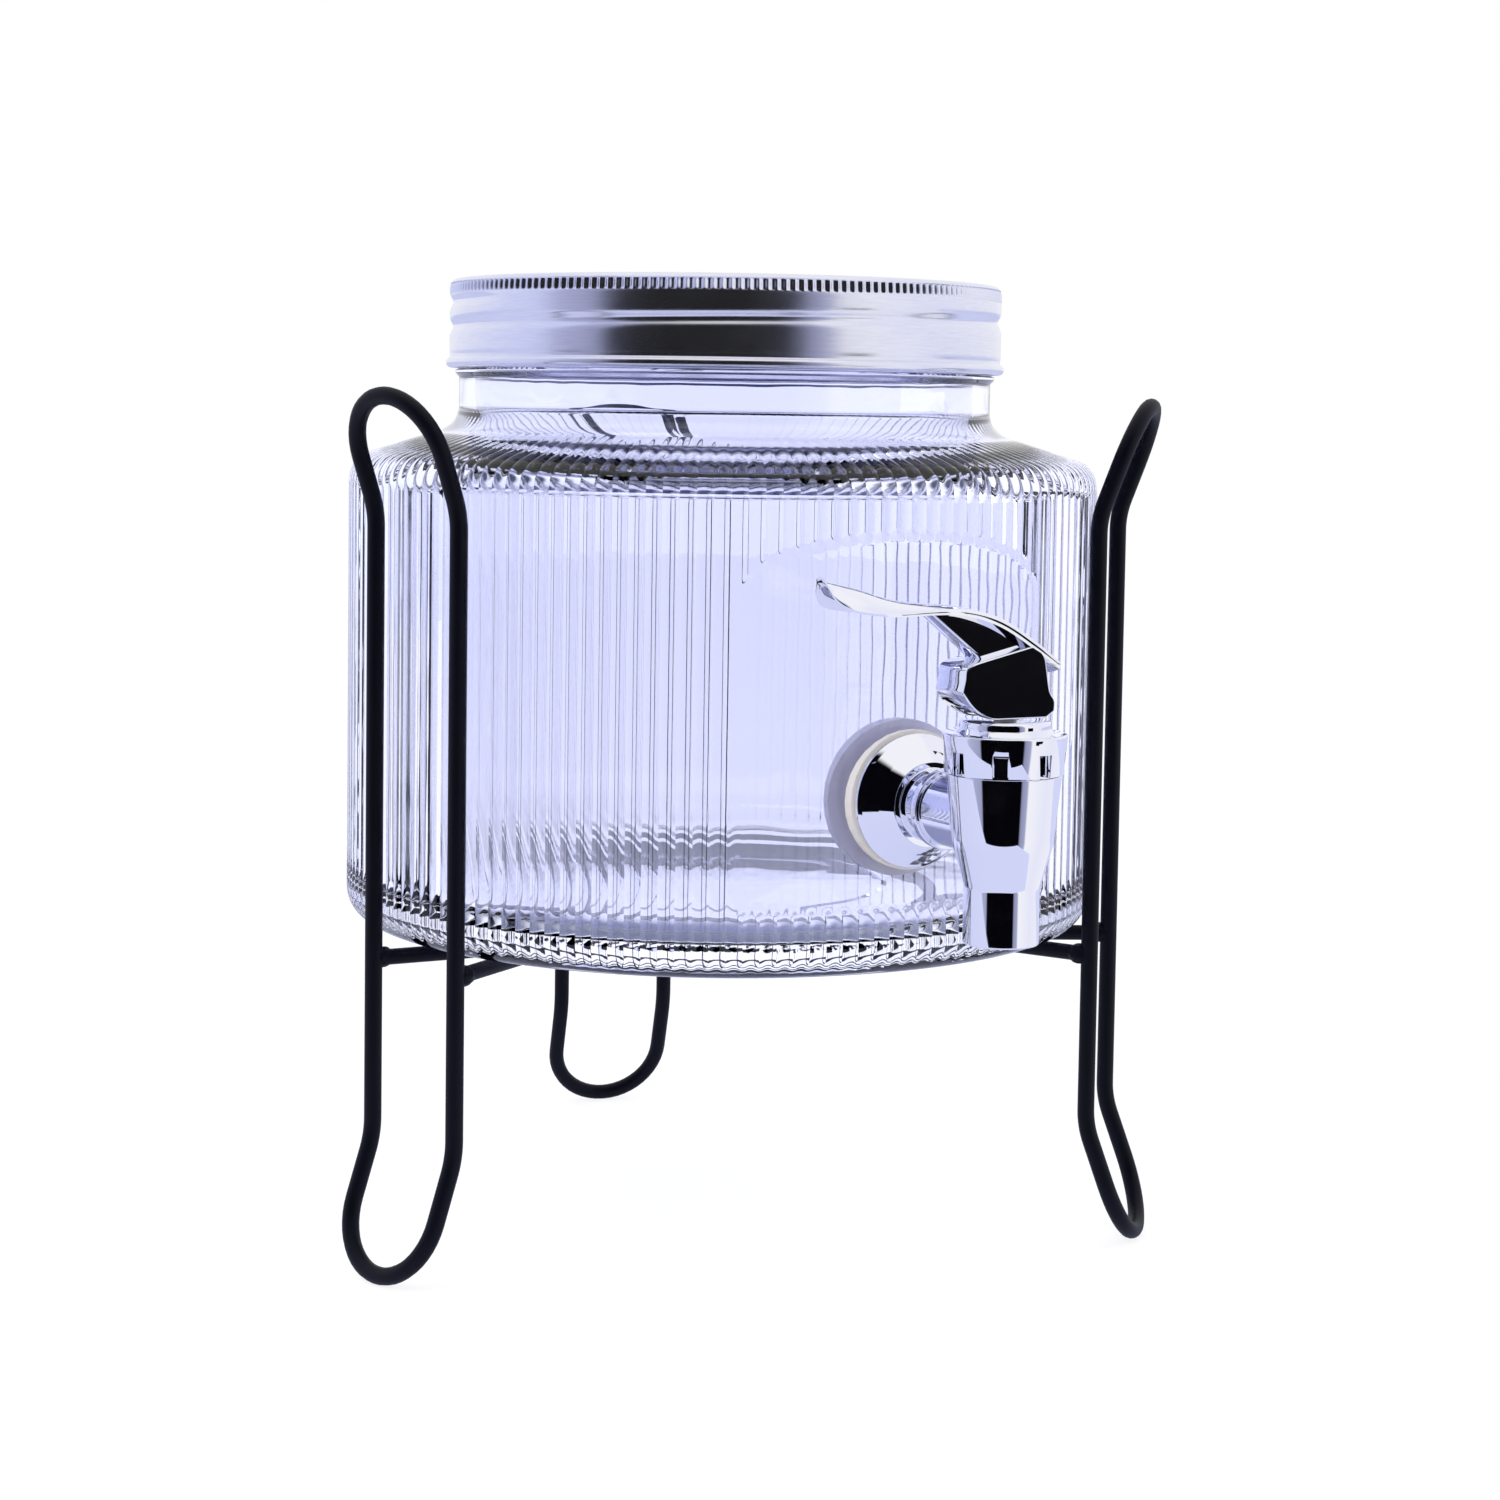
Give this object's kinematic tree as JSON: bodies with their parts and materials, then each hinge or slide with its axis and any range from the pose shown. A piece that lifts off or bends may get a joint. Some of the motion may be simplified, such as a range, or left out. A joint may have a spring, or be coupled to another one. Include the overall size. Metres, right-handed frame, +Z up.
{
  "type": "glass beverage dispenser",
  "caption": "Ribbed glass drink jar with a screw lid and a lever tap, held up by bent wire legs.",
  "frame": {"origin": "on the floor, under the middle of the dispenser's outline", "axes": "+Z up; the tap points along -Y; +X to the right of someone facing the tap"},
  "size_m": [0.2142, 0.2732, 0.2488],
  "materials": {
    "stand_wire": "satin powder coat",
    "clear_glass": "clear pressed glass",
    "tinplate": "satin tinplate",
    "chrome": "bright chrome on plastic",
    "pale_silicone": "matte silicone",
    "white_acetal": "smooth moulding",
    "stainless": "drawn stainless wire"
  },
  "bodies": {
    "stand": {"leg_left": "stand_wire", "leg_right": "stand_wire", "leg_back": "stand_wire", "support_left": "stand_wire", "support_right": "stand_wire", "support_back": "stand_wire", "centre_ring": "stand_wire"},
    "jar": {"glass_jar": "clear_glass", "outer_gasket": "pale_silicone", "inner_gasket": "pale_silicone", "shank_nut": "white_acetal", "tap_body": "chrome", "tap_bonnet": "chrome", "stem_seal": "pale_silicone", "valve_spring": "stainless"},
    "seal": {"lid_seal": "pale_silicone"},
    "lid": {"lid_shell": "tinplate"},
    "valve": {"valve_plug": "pale_silicone"},
    "stem": {"valve_stem": "white_acetal", "lever_pin": "stainless"},
    "lever": {"tap_lever": "chrome"}
  },
  "joints": [
    {"name": "jar_lift", "type": "slide", "parent": "stand", "child": "jar", "axis": [0, 0, 1], "range_m": [0, 0.16]},
    {"name": "lid_lift", "type": "slide", "parent": "jar", "child": "seal", "axis": [0, 0, 1], "range_m": [0, 0.04]},
    {"name": "lid_turn", "type": "hinge", "parent": "seal", "child": "lid", "pos_m": [0.00713, 0.01993, 0.23994], "axis": [0, 0, 1], "range_deg": [0, 450]},
    {"name": "stem_lift", "type": "slide", "parent": "jar", "child": "valve", "axis": [0, 0, 1], "range_m": [0, 0.0044], "stiffness_N_per_m": 950, "springref_m": -0.0028, "deforming": ["valve_spring"]},
    {"name": "lever_swivel", "type": "hinge", "parent": "valve", "child": "stem", "pos_m": [0.00713, -0.12227, 0.12294], "axis": [0, 0, 1], "range_deg": [-45, 225]},
    {"name": "lever_press", "type": "hinge", "parent": "stem", "child": "lever", "pos_m": [0.00713, -0.12227, 0.15524], "axis": [0, -1, 0], "range_deg": [0, 45]}
  ],
  "couplings": [
    {"joint": "lever_press", "follows": "stem_lift", "rad_per_m": 178.5}
  ]
}
